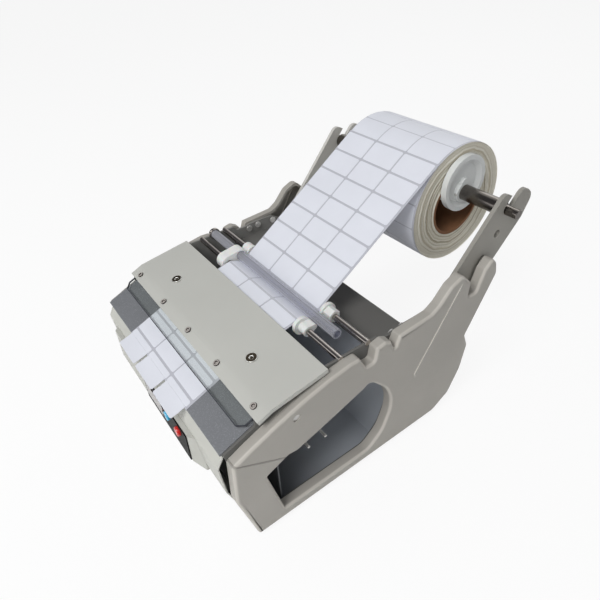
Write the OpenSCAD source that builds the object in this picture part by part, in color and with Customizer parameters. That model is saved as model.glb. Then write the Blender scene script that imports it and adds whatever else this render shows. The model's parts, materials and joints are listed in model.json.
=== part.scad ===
// Table-top label peeling machine, seen from the front: X to the right, Y to the back, Z up.
// Side-view places are shares of the side's reference length and height.

/* [Body] */
// Reference length of the side view, front floor corner to the rear bulge
side_l = 260; // [240:1:290]
// Reference height of the side view, floor to the top of the arm hooks
side_h = 172; // [160:1:190]
// Clear width between the two steel side plates
inner_w = 235; // [220:1:270]
// Thickness of each steel side plate
plate_t = 2.5; // [2:0.1:3]
// Depth of each moulded side shell
shell_d = 10; // [9:0.5:13]
// Wall of the moulded side shells
shell_wall = 3; // [2:0.1:3.5]
// Unit radius of the side shells' rounded corners
corner_r = 10; // [7:0.5:11]
// Thickness of the folded sheets
sheet_t = 1.5; // [1:0.1:2]
// Height of the rubber feet below the side shells
foot_drop = 4; // [3:0.5:8]
// Radius of a rubber foot
foot_r = 9; // [7:0.5:12]

/* [Cover and peel plate] */
// Width of the top cover across its side skirts
cover_w = 248; // [244:1:249]
// Height of the cover's side skirts
skirt_h = 4; // [3:0.5:5]
// Thickness of the peel plate
peel_t = 2; // [1.5:0.1:2.5]
// Thickness of the clear guard
guard_t = 2; // [1.5:0.1:2.2]
// Width of the clear guard
guard_w = 234; // [200:1:234]
// How far the clear guard reaches past the cover's front edge
guard_reach = 13.7; // [8:0.1:15]
// Cut corner at each front end of the clear guard
guard_chamfer = 6; // [2:0.5:10]

/* [Rods, tube and guides] */
// Diameter of the two guide rods
rod_d = 6; // [5:0.5:7]
// Distance from the front guide rod to the rear one
rod_pitch = 28.9; // [27:0.1:31]
// Outer diameter of the clear tube
tube_d = 9.5; // [8:0.5:10.5]
// Wall of the clear tube
tube_wall = 1.5; // [1:0.1:2]
// How far the clear tube reaches right of the machine's middle
tube_reach = 98; // [85:1:108]
// Radius of the sliding guide collars
collar_r = 8.5; // [7:0.25:9]
// Thickness of a guide collar's flange
collar_flange = 3.5; // [2:0.5:5]
// Length of a guide collar's hub
collar_hub = 9; // [6:0.5:12]

/* [Arms and supply shaft] */
// Width of each roll arm
arm_w = 48; // [42:1:52]
// Thickness of each roll arm
arm_t = 4; // [3:0.5:6]
// Length of an arm below the supply shaft
arm_down = 150; // [130:1:160]
// Diameter of the supply shaft
shaft_d = 15; // [12:0.5:18]
// Diameter of the supply shaft's end journals
journal_d = 9; // [7:0.5:10]
// Diameter of the spare shaft holes in the arms
arm_hole_d = 8; // [6:0.5:9]

/* [Label roll] */
// Width of the backing paper
web_w = 120; // [80:1:140]
// Offset of the roll to the right of the machine's middle
web_x = 3; // [-5:1:8]
// Outer diameter of the label roll
roll_d = 120; // [90:1:126]
// Bore of the cardboard core
core_bore = 60; // [50:1:66]
// Wall of the cardboard core
core_wall = 3; // [2:0.5:5]
// Diameter of the hub barrel that the core hangs on
hub_d = 31; // [24:0.5:40]
// Diameter of the hub's flange
flange_d = 55; // [44:1:58]
// How far the middle of the hub's flange lies above the shaft's axis
flange_rise = 8.8; // [0:0.4:10]
// Depth of the hub's outer cup
cup_depth = 6; // [5.5:0.5:10]
// Thickness of the labels and their backing
web_t = 0.4; // [0.3:0.05:0.6]
// Number of labels across the backing
label_columns = 3; // [2:1:4]
// Gap between two labels
label_gap = 3; // [2:0.5:5]
// How far the peeled labels stand out past the peel edge
label_out = 15; // [8:0.5:20]

/* [Rewind] */
// Diameter of the gearmotor
motor_d = 36; // [28:1:40]
// Length of the gearmotor
motor_l = 42; // [35:1:46]
// Diameter of the two rewind prongs
prong_d = 3; // [2.5:0.25:4]
// Distance between the two prongs
prong_gap = 19.4; // [16:0.2:24]
// Diameter of the rewound backing paper
wound_d = 28; // [26:1:40]

/* [Controls] */
// Width of the black control panel
panel_w = 91; // [86:1:110]
// Height of the black control panel along its slope
panel_h = 31; // [26:1:34]
// Diameter of the push buttons
button_d = 9; // [8:0.5:10]
// Travel of the push buttons
button_travel = 1.5; // [1:0.1:2]

/* [Hidden] */

$fn = 48;
// Steps of one rounded outline corner
corner_steps = 4;
// Largest turn of one step where paper bends, in degrees
bend_step = 12;
// Overrun of every cut
over = 1;
// Running clearance of turning and sliding pieces, on the radius
run = 0.05;
// Standing gap of paper beside a turning or bearing piece
paper_gap = 0.3;

plate_in = inner_w / 2;
plate_out = plate_in + plate_t;
shell_out = plate_out + shell_d;

grey = [0.72, 0.715, 0.69];
pale = [0.78, 0.78, 0.75];
dark = [0.30, 0.31, 0.32];
tray_blue = [0.36, 0.37, 0.41];
steel = [0.70, 0.70, 0.72];
nylon = [0.93, 0.93, 0.91];
paper = [0.90, 0.90, 0.93];
black = [0.07, 0.07, 0.08];

// A side-view place from its shares of the reference length and height
function side(p) = [p[0] * side_l, p[1] * side_h];

// Side outlines: share of length, share of height, share of the corner radius
shell_shares = [[-0.004, 0, 0.2], [0.838, 0, 1.4], [0.923, 0.081, 1.2], [0.973, 0.25, 2.5],
    [0.99, 0.43, 0.8], [0.963, 0.526, 0.3], [1.081, 0.884, 0.8], [1.067, 0.959, 0.5],
    [1.04, 1, 0.4], [1.004, 0.948, 0.4], [0.987, 0.872, 0.5], [0.979, 0.823, 0.4],
    [0.935, 0.823, 0.4], [0.937, 0.919, 0.4], [0.885, 1, 0.7], [0.831, 0.965, 0.8],
    [0.781, 0.884, 0.8], [0.746, 0.852, 0.8], [0.6, 0.84, 0.2], [0.581, 0.765, 0.1],
    [0.565, 0.831, 0.2], [0.538, 0.855, 0.4], [0.5, 0.843, 0.3], [0.492, 0.762, 0.3],
    [0.458, 0.762, 0.3], [0.431, 0.843, 0.4], [0.392, 0.846, 0.5], [0.304, 0.826, 1],
    [0.204, 0.788, 2], [0.1, 0.735, 1], [0.019, 0.686, 0.6], [-0.046, 0.64, 0.4],
    [-0.057, 0.375, 1.5]];
opening_shares = [[0.106, 0.07, 0.2], [0.057, 0.427, 0.3], [0.141, 0.483, 0.4],
    [0.176, 0.477, 0.4], [0.268, 0.519, 1], [0.452, 0.613, 1], [0.471, 0.631, 0.4],
    [0.496, 0.61, 1.2], [0.557, 0.505, 3], [0.583, 0.402, 3.2], [0.583, 0.301, 3.4],
    [0.552, 0.163, 2.5], [0.488, 0.07, 1.5]];

// Cover: crease of the front lip, front edge and rear edge, on its top face
cover_front = side([0.0622, 0.7877]);
cover_crease = side([0.112, 0.819]);
cover_rear = side([0.32, 0.862]);
// Peel plate: front edge and rear end, on its top face
peel_front = side([-0.06, 0.677]);
peel_rear = side([0.108, 0.776]);
// Axes seen in side view
front_rod_at = side([0.383, 0.844]);
rear_rod_at = front_rod_at + [rod_pitch, 0.03 * rod_pitch];
tube_at = front_rod_at + [0.495 * rod_pitch, 0.125 * rod_pitch];
shaft_at = side([1.135, 1.203]);
arm_foot_at = side([0.768, 0.53]);
rewind_at = side([0.302, 0.265]);
tie_at = side([0.86, 0.27]);

function unit(v) = v / norm(v);
function turned(v) = [-v[1], v[0]];
function along(a, b, d) = a + unit(b - a) * d;
// Height of the line through a and b at place y
function height_at(a, b, y) = a[1] + (b[1] - a[1]) * (y - a[0]) / (b[0] - a[0]);

// Arc that rounds corner b between its neighbours a and c
function corner(a, b, c, r) = let (
        u = unit(a - b),
        v = unit(c - b),
        half = acos(u * v) / 2,
        mid = b + unit(u + v) * r / sin(half),
        p = b + u * r / tan(half) - mid,
        q = b + v * r / tan(half) - mid,
        start = atan2(p[1], p[0]),
        raw = atan2(q[1], q[0]) - start,
        turn = raw > 180 ? raw - 360 : raw < -180 ? raw + 360 : raw)
    [for (i = [0 : corner_steps]) mid + r * [cos(start + turn * i / corner_steps),
        sin(start + turn * i / corner_steps)]];

// A closed outline from share points, grown outward by d and rounded
function grown(points, d) = let (n = len(points)) [for (i = [0 : n - 1]) let (
        a = side(points[(i + n - 1) % n]),
        b = side(points[i]),
        c = side(points[(i + 1) % n]),
        n1 = -turned(unit(b - a)),
        n2 = -turned(unit(c - b)))
    b + (n1 + n2) * d / (1 + n1 * n2)];
// Closed outline with every corner rounded, from places and their radii
function rounded(g, radii) = let (n = len(g))
    [for (i = [0 : n - 1]) each corner(g[(i + n - 1) % n], g[i], g[(i + 1) % n], radii[i])];
function outline(points, d = 0) =
    rounded(grown(points, d), [for (p = points) p[2] * corner_r]);
// The opening runs the other way round, so it grows by the opposite sign
function opening(d) = outline(opening_shares, -d);

// Side-view outline as a plate from x0 to x1
module slab(points, x0, x1) {
    translate([x0, 0, 0])
        rotate([90, 0, 90])
            linear_extrude(x1 - x0)
                polygon(points);
}

// Cylinder along X at a side-view place
module rod_x(at, r, x0, x1) {
    translate([x0, at[0], at[1]])
        rotate([0, 90, 0])
            cylinder(r = r, h = x1 - x0);
}

// Ring along X at a side-view place
module ring_x(at, r, bore_r, x0, x1) {
    difference() {
        rod_x(at, r, x0, x1);
        rod_x(at, bore_r, x0 - over, x1 + over);
    }
}

// Two cylinders along X and the web between them
module link_x(a, ra, b, rb, x0, x1) {
    side_a = turned(unit(b - a)) * ra;
    side_b = turned(unit(b - a)) * rb;
    rod_x(a, ra, x0, x1);
    rod_x(b, rb, x0, x1);
    slab([a + side_a, b + side_b, b - side_b, a - side_a], x0, x1);
}

// Sheet of thickness t that follows an open side-view path, t to its left
function sheet(path, t) = let (n = len(path)) concat(path, [for (k = [n - 1 : -1 : 0]) let (
        u = k > 0 ? unit(path[k] - path[k - 1]) : unit(path[1] - path[0]),
        v = k < n - 1 ? unit(path[k + 1] - path[k]) : u,
        n1 = turned(u),
        n2 = turned(v))
    path[k] + (n1 + n2) * t / (1 + n1 * n2)]);

// Paper path: heading of the tangent from circle a to circle b with signed radii ra, rb,
// positive where the paper that moves forward lies on top
function heading(a, ra, b, rb) =
    atan2(b[1] - a[1], b[0] - a[0]) - asin((rb - ra) / norm(b - a));
function off(at, r, angle) = at + r * [sin(angle), -cos(angle)];
function swing(from, to) = let (raw = to - from)
    raw > 180 ? raw - 360 : raw < -180 ? raw + 360 : raw;
function bend(at, r, from, turn) = let (steps = max(1, round(abs(turn) / bend_step)))
    [for (i = [0 : steps]) off(at, r, from + turn * i / steps)];

module mirrored_x() {
    children();
    mirror([1, 0, 0])
        children();
}

// Places that screws, bosses and plates share
shell_screw_at = [for (p = [[0.181, 0.715], [0.61, 0.8], [0.655, 0.805], [0.735, 0.797],
    [0.04, 0.12], [0.83, 0.12], [0.92, 0.4]]) side(p)];
boss_r = 4;
screw_r = 1.5;
screw_head_r = 3.5;
screw_head_h = 2;
arm_dir = unit(shaft_at - arm_foot_at);
arm_angle = atan2(arm_dir[1], arm_dir[0]);
// Place on an arm: d up the arm from the shaft, h towards its front
function on_arm(d, h) = shaft_at + arm_dir * d + turned(arm_dir) * h;
arm_bolt_at = [on_arm(-0.7 * arm_down, 0), on_arm(-0.9 * arm_down, 0)];
arm_bolt_r = 3;
arm_nut_r = 5.5;
arm_nut_h = 3;

// Moulded side shell on the right, hollow towards its steel plate
module shell(open) {
    difference() {
        union() {
            difference() {
                slab(outline(shell_shares), plate_out, shell_out - shell_wall / 2);
                slab(outline(shell_shares, -shell_wall), plate_out - over, shell_out - shell_wall);
            }
            slab(outline(shell_shares, -shell_wall / 4), shell_out - shell_wall / 2 - run,
                shell_out);
            if (open)
                slab(opening(shell_wall), plate_out, shell_out - shell_wall / 2);
            for (at = shell_screw_at)
                rod_x(at, boss_r, plate_out, shell_out - shell_wall / 2);
        }
        if (open)
            slab(opening(0), plate_out - over, shell_out + over);
        for (at = shell_screw_at)
            rod_x(at, screw_r + run, plate_out - over, shell_out - shell_wall);
        // Through hole of the one screw that goes in from outside
        rod_x(shell_screw_at[0], screw_head_r + run, shell_out - shell_wall, shell_out + over);
    }
}

module right_shell() {
    color(grey) shell(true);
}

module left_shell() {
    color(grey) mirror([1, 0, 0]) shell(false);
}

cover_path = [cover_rear, cover_crease, cover_front];
// Underside of the cover, with a seating gap
cover_under = sheet(cover_path, sheet_t + run);

// Steel side plate: it carries the rods, cover, trays, arms and shells
plate_shares = [[0.012, 0.023, 0.2], [0.825, 0.023, 1.2], [0.905, 0.1, 1.2], [0.952, 0.26, 2],
    [0.968, 0.43, 0.8], [0.943, 0.52, 0.4], [1.01, 0.73, 0.8], [1.005, 0.79, 0.4],
    [0.77, 0.79, 0.8], [0.735, 0.83, 0.8], [0.62, 0.83, 0.4], [0.6, 0.822, 0.3],
    [0.545, 0.822, 0.3], [0.535, 0.853, 0.3], [0.326, 0.853, 0.1]];
plate_nose_shares = [[-0.05, 0.68], [-0.046, 0.63]];
plate_points = concat(outline(plate_shares), [
    cover_under[5],
    cover_under[4],
    cover_under[3],
    [cover_front[0], height_at(peel_front, peel_rear, cover_front[0]) - peel_t / 2],
    [side(plate_nose_shares[0])[0],
        height_at(peel_front, peel_rear, side(plate_nose_shares[0])[0]) - peel_t / 2],
    side(plate_nose_shares[1])]);

module side_plate() {
    difference() {
        slab(plate_points, plate_in, plate_out);
        for (at = [front_rod_at, rear_rod_at])
            rod_x(at, rod_d / 2 + run, plate_in - over, plate_out + over);
        for (at = shell_screw_at)
            rod_x(at, screw_r + run, plate_in - over, plate_out + over);
        for (at = arm_bolt_at)
            rod_x(at, arm_bolt_r + run, plate_in - over, plate_out + over);
        rod_x(tie_at, screw_r + run, plate_in - over, plate_out + over);
    }
}

module right_side_plate() {
    color(dark) difference() {
        side_plate();
        slab(opening(shell_wall), plate_in - over, plate_out + over);
    }
}

// Ear of the left plate that holds the tube's pin
pin_ear_r = 3.5;

module left_side_plate() {
    color(dark) mirror([1, 0, 0]) difference() {
        union() {
            side_plate();
            link_x(tube_at, pin_ear_r, tube_at - [0, 2 * pin_ear_r], pin_ear_r, plate_in,
                plate_out);
        }
        rod_x(tube_at, screw_r + run, plate_in - over, plate_out + over);
        for (at = motor_screw_at)
            rod_x(at, screw_r + run, plate_in - over, plate_out + over);
    }
}

// Base, tray and rear cover: folded sheets between the side plates
base_z = 0.023 * side_h;
base_front = 0.004 * side_l;
base_rear = 0.79 * side_l;
floor_z = base_z + sheet_t;

module base_plate() {
    color(dark) translate([-plate_in, base_front, base_z])
        cube([inner_w, base_rear - base_front, sheet_t]);
}

tray_front_y = 0.118 * side_l;
tray_top_z = 0.5 * side_h;
tray_path = [[tray_front_y, tray_top_z], [tray_front_y, floor_z], [0.555 * side_l, floor_z],
    side([0.615, 0.26]), side([0.655, 0.57])];

module base_tray() {
    color(tray_blue) slab(sheet(tray_path, sheet_t), -plate_in, plate_in);
}

rear_wall_y = 0.79 * side_l;
deck_z = 0.745 * side_h;
rear_path = [[rear_wall_y, floor_z], [rear_wall_y, 0.58 * side_h], [0.7 * side_l, deck_z],
    [0.53 * side_l, deck_z]];
inlet_x = -75;
inlet_w = 28;
inlet_h = 20;
inlet_depth = 18;
inlet_z = 0.27 * side_h;
switch_x = -35;
switch_w = 13;
switch_h = 19;
switch_depth = 16;
fit_gap = 0.2;

module rear_cover() {
    color(dark) difference() {
        slab(sheet(rear_path, sheet_t), -plate_in, plate_in);
        mirrored_x()
            slab(rounded(arm_slot_points, [for (p = arm_slot_points) corner_r]),
                arm_in - fit_gap, plate_in + over);
        mirrored_x()
            for (at = arm_bolt_at)
                rod_x(at, arm_nut_r + fit_gap, arm_in - arm_nut_h - fit_gap, plate_in + over);
        for (cut = [[inlet_x, inlet_w, inlet_h], [switch_x, switch_w, switch_h]])
            translate([cut[0] - cut[1] / 2 - fit_gap, rear_wall_y - sheet_t - over,
                    inlet_z - cut[2] / 2 - fit_gap])
                cube([cut[1] + 2 * fit_gap, sheet_t + 2 * over, cut[2] + 2 * fit_gap]);
    }
}

// Top cover with a sloping front lip and side skirts
cover_dir = unit(cover_rear - cover_crease);
lip_dir = unit(cover_crease - cover_front);
cover_screw_x = 71;
cover_screw_y = 0.175 * side_l;
cover_screw_at = [cover_screw_y, height_at(cover_crease, cover_rear, cover_screw_y)];
cover_screw_r = 3;
cover_screw_head_r = 5;
guard_screw_x_shares = [-0.945, -0.451, 0, 0.451, 0.945];
guard_screw_d = 6.3;
guard_screw_r = 1.5;
guard_head_r = 2.9;
guard_head_h = 1.2;
guard_screw_at = along(cover_front, cover_crease, guard_screw_d);

// Moves its child onto a sloping face: origin at the place, Z square to the face
module on_slope(x, at, dir) {
    translate([x, at[0], at[1]])
        rotate([atan2(dir[1], dir[0]), 0, 0])
            children();
}

// Low screw head with a hexagon socket, seated on the sheet below it
module socket_head(r, socket_r) {
    translate([0, 0, run])
        difference() {
            cylinder(r = r, h = guard_head_h);
            translate([0, 0, guard_head_h / 2])
                cylinder(r = socket_r, h = guard_head_h, $fn = 6);
        }
}

module top_cover() {
    color(pale) difference() {
        union() {
            slab(sheet(cover_path, sheet_t), -cover_w / 2, cover_w / 2);
            mirrored_x()
                slab(sheet(cover_path, skirt_h), cover_w / 2 - sheet_t, cover_w / 2);
        }
        mirrored_x()
            on_slope(cover_screw_x, cover_screw_at, cover_dir)
                translate([0, 0, -sheet_t - over])
                    cylinder(r = cover_screw_r + run, h = sheet_t + 2 * over);
        for (share = guard_screw_x_shares)
            on_slope(share * guard_w / 2, guard_screw_at, lip_dir)
                translate([0, 0, -sheet_t - over])
                    cylinder(r = guard_screw_r + run, h = sheet_t + 2 * over);
    }
}

// Blocks on the side plates that take the two large cover screws
bracket_l = 14;
bracket_t = 5;

module cover_brackets() {
    color(dark) mirrored_x()
        difference() {
            on_slope(0, cover_screw_at, cover_dir)
                translate([cover_screw_x - bracket_l / 2, -bracket_l / 2, -sheet_t - bracket_t])
                    cube([plate_in - cover_screw_x + bracket_l / 2, bracket_l, bracket_t - run]);
            on_slope(cover_screw_x, cover_screw_at, cover_dir)
                translate([0, 0, -sheet_t - bracket_t - over])
                    cylinder(r = cover_screw_r + run, h = bracket_t + 2 * over);
        }
}

module cover_screws() {
    color(steel) mirrored_x()
        on_slope(cover_screw_x, cover_screw_at, cover_dir) {
            translate([0, 0, -sheet_t - bracket_t])
                cylinder(r = cover_screw_r, h = sheet_t + bracket_t + run);
            socket_head(cover_screw_head_r, cover_screw_r / 1.5);
        }
}

// Clear guard under the cover's lip
module clear_guard() {
    front = -guard_reach;
    back = norm(cover_crease - cover_front) - sheet_t;
    color([0.85, 0.9, 0.92, 0.35])
        difference() {
            on_slope(0, cover_front, lip_dir)
                translate([0, 0, -sheet_t - guard_t - run])
                    linear_extrude(guard_t)
                        polygon([[-guard_w / 2, back], [-guard_w / 2, front + guard_chamfer],
                            [guard_chamfer - guard_w / 2, front],
                            [guard_w / 2 - guard_chamfer, front],
                            [guard_w / 2, front + guard_chamfer], [guard_w / 2, back]]);
            for (share = guard_screw_x_shares)
                on_slope(share * guard_w / 2, guard_screw_at, lip_dir)
                    translate([0, 0, -sheet_t - guard_t - over])
                        cylinder(r = guard_screw_r + run, h = guard_t + 2 * over);
        }
}

module guard_screws() {
    color(steel) for (share = guard_screw_x_shares)
        on_slope(share * guard_w / 2, guard_screw_at, lip_dir) {
            translate([0, 0, -sheet_t - guard_t])
                cylinder(r = guard_screw_r, h = sheet_t + guard_t + run);
            socket_head(guard_head_r, guard_screw_r);
        }
}

// Peel plate with a rounded front edge that the backing paper turns round
peel_dir = unit(peel_rear - peel_front);
peel_edge_at = peel_front + peel_dir * peel_t / 2 - turned(peel_dir) * peel_t / 2;

module peel_plate() {
    color([0.46, 0.47, 0.49])
        union() {
            slab([off(peel_edge_at, peel_t / 2, atan2(peel_dir[1], peel_dir[0])),
                peel_rear - turned(peel_dir) * peel_t, peel_rear,
                off(peel_edge_at, -peel_t / 2, atan2(peel_dir[1], peel_dir[0]))],
                -plate_in, plate_in);
            rod_x(peel_edge_at, peel_t / 2, -plate_in, plate_in);
        }
}

// Front fascia, the console that stands out of it, and the black panel
fascia_path = [side([-0.051, 0.655]), side([-0.075, 0.59]), side([-0.066, 0.39]),
    side([-0.016, 0.14]), [0, floor_z], [0.05 * side_l, floor_z]];

module front_fascia() {
    color(pale) slab(sheet(fascia_path, sheet_t), -plate_in, plate_in);
}

console_left = -100;
console_right = 82;
console_top = side([-0.0908, 0.575]);
console_nose = side([-0.095, 0.384]);
console_under = side([-0.068, 0.325]);
console_dir = unit(console_top - console_nose);
console_depth = fascia_path[2][0] - console_nose[0];
// Width of the slanted face at each end of the console
console_taper = 10;

// Place of the fascia's outer face at height z
function fascia_y(z) = let (a = fascia_path[1], b = fascia_path[2], c = fascia_path[3])
    z > b[1] ? a[0] + (b[0] - a[0]) * (z - a[1]) / (b[1] - a[1])
        : b[0] + (c[0] - b[0]) * (z - b[1]) / (c[1] - b[1]);

// Moves its child onto the console's face: X right, Y up the slope, Z outward
module on_console(x, d) {
    at = console_nose + console_dir * d;
    translate([x, at[0], at[1]])
        rotate([atan2(console_dir[1], console_dir[0]), 0, 0])
            children();
}

panel_t = 1.2;
panel_x = console_right - console_taper - panel_w / 2;
panel_mid = panel_h / 2 + panel_t;
button_pitch = 21;
button_inset = 15;
button_x = panel_x + panel_w / 2 - button_inset;
button_at = panel_mid + 0.27 * panel_h;
button_in = 1;
button_out = 2.6;

module console_housing() {
    color(pale) difference() {
        intersection() {
            slab([console_top, console_nose, console_under,
                [fascia_y(console_under[1]) - run, console_under[1]],
                fascia_path[2] - [run, 0],
                [fascia_y(console_top[1]) - run, console_top[1]]],
                console_left, console_right);
            linear_extrude(side_h)
                polygon([[console_left + console_taper, console_nose[0] - over],
                    [console_right - console_taper, console_nose[0] - over],
                    [console_right, fascia_path[2][0]], [console_right, 0],
                    [console_left, 0], [console_left, fascia_path[2][0]]]);
        }
        for (k = [0, 1])
            on_console(button_x - k * button_pitch, button_at)
                translate([0, 0, -console_depth - over])
                    cylinder(r = button_d / 2 + run, h = console_depth + 2 * over);
    }
}
display_w = 36;
display_h = 16;
display_inset = 4;
display_x = panel_x - panel_w / 2 + display_inset + display_w / 2;

module control_panel() {
    color(black) difference() {
        on_console(panel_x, panel_mid)
            translate([-panel_w / 2, -panel_h / 2, 0])
                cube([panel_w, panel_h, panel_t]);
        for (k = [0, 1])
            on_console(button_x - k * button_pitch, button_at)
                translate([0, 0, -over])
                    cylinder(r = button_d / 2 + run, h = panel_t + 2 * over);
    }
}

module display_window() {
    color([0.25, 0.03, 0.03])
        on_console(display_x, panel_mid)
            translate([-display_w / 2, -display_h / 2, panel_t])
                cube([display_w, display_h, sheet_t / 3]);
}

// Button that stands out of the panel and runs in the bore behind it
module push_button(k) {
    on_console(button_x - k * button_pitch, button_at)
        translate([0, 0, -button_in])
            cylinder(r = button_d / 2, h = button_in + panel_t + button_out);
}

module red_button() {
    color([0.75, 0.08, 0.06]) push_button(0);
}

module blue_button() {
    color([0.15, 0.55, 0.75]) push_button(1);
}

module front_rod() {
    color(steel) rod_x(front_rod_at, rod_d / 2, -plate_out, plate_out);
}

module rear_rod() {
    color(steel) rod_x(rear_rod_at, rod_d / 2, -plate_out, plate_out);
}

module tie_bar() {
    color(steel) {
        rod_x(tie_at, rod_d, -plate_in, plate_in);
        rod_x(tie_at, screw_r, -plate_out, plate_out);
    }
}

// Pin on the left side plate that the clear tube turns on
tube_r = tube_d / 2;
pin_flange_r = tube_r + 2 * run + tube_wall;
pin_flange_t = 3;
pin_l = 18;

module tube_pin() {
    color(steel) {
        rod_x(tube_at, pin_flange_r, -plate_in, pin_flange_t - plate_in);
        rod_x(tube_at, tube_r - tube_wall - run, -plate_in, pin_l - plate_in);
        rod_x(tube_at, screw_r, -plate_out, -plate_in);
    }
}

module guide_tube() {
    color([0.75, 0.75, 0.92, 0.5])
        ring_x(tube_at, tube_r, tube_r - tube_wall, pin_flange_t + paper_gap - plate_in,
            tube_reach);
}

// Bar under the peel plate that the backing paper turns over
liner_t = web_t / 2;
paper_lay = 0.1;
bar_r = 2.5;
bar_at = peel_rear - peel_dir * bar_r
    - turned(peel_dir) * (peel_t + liner_t + paper_lay + paper_gap + bar_r);

module liner_bar() {
    color(steel) rod_x(bar_at, bar_r, -plate_in, plate_in);
}

// Roll arms: each has a hooked slot at its top for the shaft, and two spare holes
arm_out = plate_in;
arm_in = plate_in - arm_t;
journal_r = journal_d / 2;
slot_r = journal_r + 0.6;
slot_h_share = 0.03;
arm_hole_shares = [[-0.45, -0.135], [-1, -0.155]];
// Front and rear edge, at the foot and level with the shaft
arm_front_shares = [0.4375, 0.375];
arm_rear_shares = [-0.42, -0.61];
arm_top_shares = [[0.19, arm_front_shares[1], 0.7], [0.25, 0.14, 0.2], [0.1, -0.08, 0.1],
    [0.54, -0.08, 0.85], [0.55, -0.5, 0.9], [0.08, arm_rear_shares[1], 0.8]];
arm_points = concat([on_arm(-arm_down, arm_front_shares[0] * arm_w)],
    [for (p = arm_top_shares) on_arm(p[0] * arm_w, p[1] * arm_w)],
    [on_arm(-arm_down, arm_rear_shares[0] * arm_w)]);
// Cut in the rear cover that clears an arm's lower end
arm_slot_points = [
    on_arm(-arm_down - fit_gap, arm_front_shares[0] * arm_w + fit_gap),
    on_arm(0, arm_front_shares[1] * arm_w + fit_gap),
    on_arm(0, arm_rear_shares[1] * arm_w - fit_gap),
    on_arm(-arm_down - fit_gap, arm_rear_shares[0] * arm_w - fit_gap)];
arm_radii = concat([corner_r], [for (p = arm_top_shares) p[2] * corner_r], [corner_r]);

module arm() {
    entry = on_arm(slot_h_share * arm_w / 2, slot_h_share * arm_w);
    difference() {
        slab(rounded(arm_points, arm_radii), arm_in, arm_out);
        rod_x(shaft_at, journal_r + run, arm_in - over, arm_out + over);
        link_x(on_arm(journal_r / 4, journal_r / 4), slot_r, entry, slot_r, arm_in - over,
            arm_out + over);
        link_x(entry, slot_r, on_arm(arm_w, slot_h_share * arm_w), slot_r, arm_in - over,
            arm_out + over);
        for (p = arm_hole_shares)
            rod_x(on_arm(p[0] * arm_w, p[1] * arm_w), arm_hole_d / 2, arm_in - over,
                arm_out + over);
        for (at = arm_bolt_at)
            rod_x(at, arm_bolt_r + run, arm_in - over, arm_out + over);
    }
}

module right_arm() {
    color(grey) arm();
}

module left_arm() {
    color(grey) mirror([1, 0, 0]) arm();
}

// Fasteners, each group in one node
module arm_bolts() {
    color(steel) mirrored_x()
        for (at = arm_bolt_at) {
            rod_x(at, arm_bolt_r, arm_in, plate_out + arm_nut_h);
            rod_x(at, arm_nut_r, arm_in - arm_nut_h, arm_in);
            difference() {
                rod_x(at, arm_nut_r, plate_out, plate_out + arm_nut_h, $fn = 6);
                rod_x(at, arm_bolt_r, plate_out - over, plate_out + arm_nut_h + over);
            }
        }
}

module shell_screws() {
    screw_end = shell_out - shell_wall;
    color(steel) mirrored_x() {
        for (i = [1 : len(shell_screw_at) - 1]) {
            rod_x(shell_screw_at[i], screw_r, plate_in, screw_end);
            rod_x(shell_screw_at[i], screw_head_r, plate_in - screw_head_h, plate_in);
        }
        // The outer screw sits in a counterbore of the shell
        rod_x(shell_screw_at[0], screw_r, plate_in, screw_end);
        rod_x(shell_screw_at[0], screw_head_r, screw_end, screw_end + screw_head_h);
    }
}

foot_x = 0.8 * plate_in;
foot_y_shares = [0.08, 0.72];

module rubber_feet() {
    color(black) mirrored_x()
        for (share = foot_y_shares)
            translate([foot_x, share * side_l, -foot_drop])
                cylinder(r = foot_r, h = foot_drop + base_z);
}

// Gearmotor on the left side plate, and the rewind spool on its shaft
motor_r = motor_d / 2;
motor_end = motor_l - plate_in;
motor_bore_r = 3;
motor_bore_l = 12;
motor_screw_ring_r = 12;
motor_screw_l = 6;
motor_screw_at = [for (angle = [45 : 90 : 315])
    rewind_at + motor_screw_ring_r * [cos(angle), sin(angle)]];

module rewind_motor() {
    color([0.55, 0.55, 0.57]) difference() {
        rod_x(rewind_at, motor_r, -plate_in, motor_end);
        rod_x(rewind_at, motor_bore_r + run, motor_end - motor_bore_l - run, motor_end + over);
        for (at = motor_screw_at)
            rod_x(at, screw_r + run, -plate_in - over, motor_screw_l + run - plate_in);
    }
}

module motor_screws() {
    color(steel) for (at = motor_screw_at) {
        rod_x(at, screw_r, -plate_out, motor_screw_l - plate_in);
        rod_x(at, screw_head_r, -plate_out - screw_head_h, -plate_out);
    }
}

spool_disc_t = 4;
spool_start = motor_end + over;
prong_r = prong_d / 2;
prong_end = 0.95 * plate_in;
prong_at = [for (side = [-1, 1]) rewind_at + [side * prong_gap / 2, 0]];
wound_bore_r = prong_gap / 2 + prong_r + paper_lay;
web_left = web_x - web_w / 2;
web_right = web_x + web_w / 2;

module rewind_hub() {
    color(steel) difference() {
        union() {
            rod_x(rewind_at, wound_d / 2 + prong_r, spool_start, spool_start + spool_disc_t);
            rod_x(rewind_at, motor_bore_r, motor_end - motor_bore_l, spool_start);
        }
        for (at = prong_at)
            rod_x(at, prong_r, spool_start - over / 2, spool_start + spool_disc_t + over);
    }
}

module rewind_prongs() {
    color(steel) for (at = prong_at)
        rod_x(at, prong_r, spool_start, prong_end);
}

module rewound_liner() {
    color(paper) ring_x(rewind_at, wound_d / 2, wound_bore_r, web_left, web_right);
}

// Control board on the tray's front wall, inside the fascia
board_w = 120;
board_h = 0.28 * side_h;
board_t = 1.6;
board_gap = 6;
board_z = 0.13 * side_h;
board_x = -0.55 * board_w;
standoff_r = 2.5;
standoff_inset = 5;

module control_board() {
    color([0.1, 0.35, 0.18]) translate([board_x, tray_front_y - board_gap - board_t, board_z])
        cube([board_w, board_t, board_h]);
}

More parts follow.
